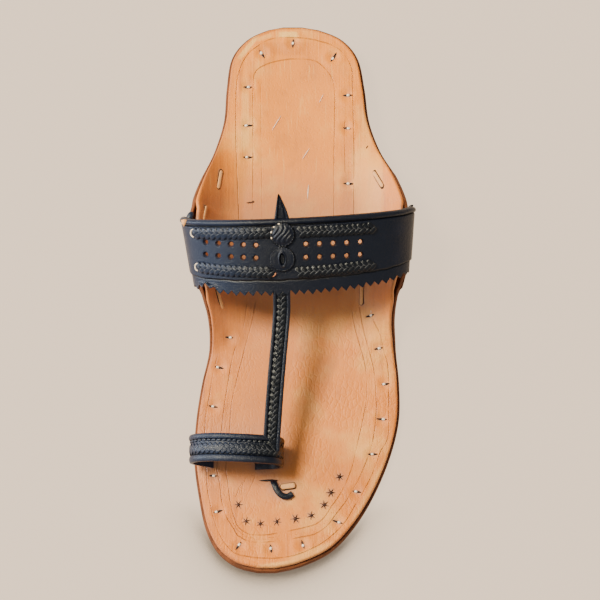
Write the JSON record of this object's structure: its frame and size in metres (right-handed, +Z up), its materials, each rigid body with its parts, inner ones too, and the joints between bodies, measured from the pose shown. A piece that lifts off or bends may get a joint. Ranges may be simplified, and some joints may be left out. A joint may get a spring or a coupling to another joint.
{
  "type": "toe-ring sandal",
  "caption": "Flat leather sandal for a left foot with turned-up side ears, a broad punched and plaited instep band, a plaited centre strap and a big-toe ring.",
  "frame": {"origin": "middle of the sandal's box, on the floor", "axes": "+Z up; the toe points to -Y and the heel to +Y; -X is the big toe's side"},
  "size_m": [0.1154, 0.2814, 0.069],
  "materials": {
    "tan_leather": "natural vegetable-tanned grain, dry and slightly creased",
    "edge_leather": "cut edges and flesh side, darker and matt",
    "navy_leather": "navy dyed grain with a low sheen, rubbed paler on raised edges"
  },
  "bodies": {
    "root": {"insole": "tan_leather", "outsole": "edge_leather", "heel_lift_1": "edge_leather", "heel_lift_2": "edge_leather", "heel_lift_3": "edge_leather", "upper": "navy_leather", "plait_rear_medial": "navy_leather", "plait_rear_lateral": "navy_leather", "plait_front_medial": "navy_leather", "plait_front_lateral": "navy_leather", "rosette": "navy_leather", "eyelet_boss": "navy_leather", "thong_knot": "navy_leather", "thong_peg": "tan_leather"}
  },
  "joints": []
}
